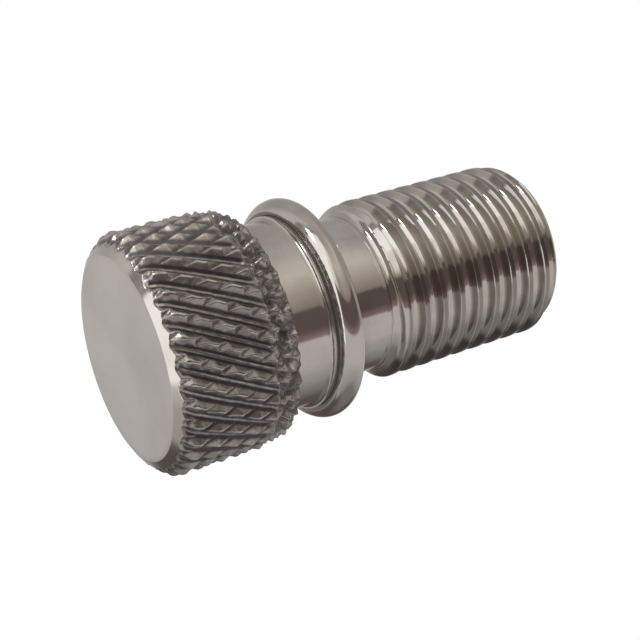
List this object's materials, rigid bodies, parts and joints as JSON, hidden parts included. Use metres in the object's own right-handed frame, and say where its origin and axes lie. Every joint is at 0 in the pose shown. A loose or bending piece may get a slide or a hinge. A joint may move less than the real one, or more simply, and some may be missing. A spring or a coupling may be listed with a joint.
{
  "type": "thumb screw",
  "caption": "Thumb screw turned from bright steel bar, with a diamond-knurled head, a plain neck, a rounded bead and a fine right-hand thread.",
  "frame": {"origin": "centre of the flat face of the knurled head", "axes": "+Z along the screw's axis, from the head towards the threaded end; the screw stands on the face of its head"},
  "size_m": [0.0142, 0.0142, 0.0268],
  "materials": {
    "thumb_screw": "bright turned, with a satin face"
  },
  "bodies": {
    "root": {"thumb_screw": "thumb_screw"}
  },
  "joints": []
}
